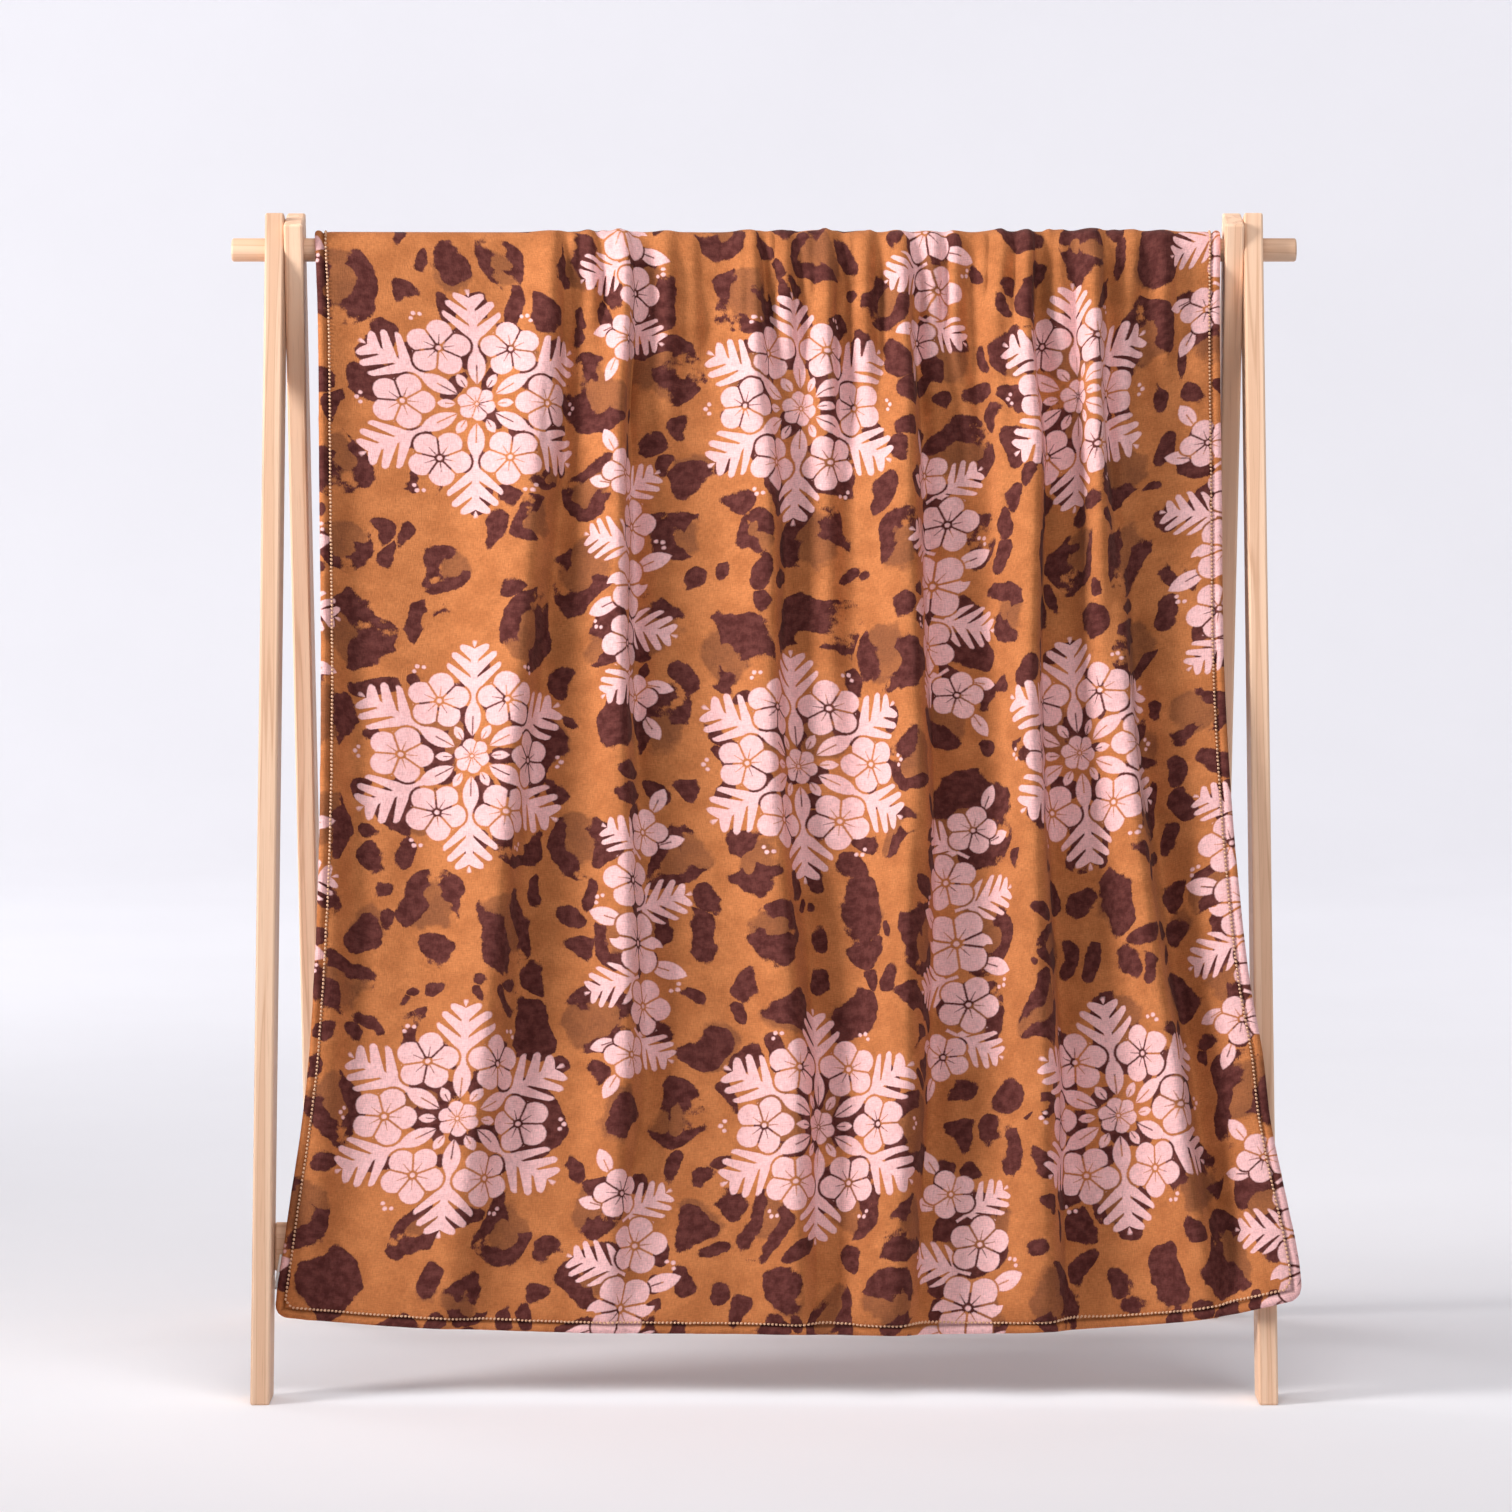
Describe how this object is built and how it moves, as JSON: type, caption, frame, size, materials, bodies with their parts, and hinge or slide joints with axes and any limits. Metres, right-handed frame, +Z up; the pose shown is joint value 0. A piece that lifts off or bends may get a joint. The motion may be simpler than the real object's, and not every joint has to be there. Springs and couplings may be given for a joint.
{
  "type": "minky throw blanket draped on a wooden a-frame rack",
  "caption": "Double-layer minky throw with a topstitched edge, draped over the rod of a plain folding-style wooden rack.",
  "frame": {"origin": "on the floor, at the bottom centre of the whole object's box", "axes": "+X along the rod to the right as seen from the front, +Y backwards, away from the side with the long drop, +Z up"},
  "size_m": [1, 0.5564, 1.0835],
  "materials": {
    "minky": "short-pile printed minky, matt with a soft sheen",
    "tape": "white woven tape",
    "pine": "pale planed pine, unvarnished"
  },
  "bodies": {
    "root": {"blanket": "minky", "label": "tape", "rod": "pine", "leg_left_front": "pine", "leg_left_back": "pine", "leg_right_front": "pine", "leg_right_back": "pine", "stretcher_front": "pine", "stretcher_back": "pine"}
  },
  "joints": []
}
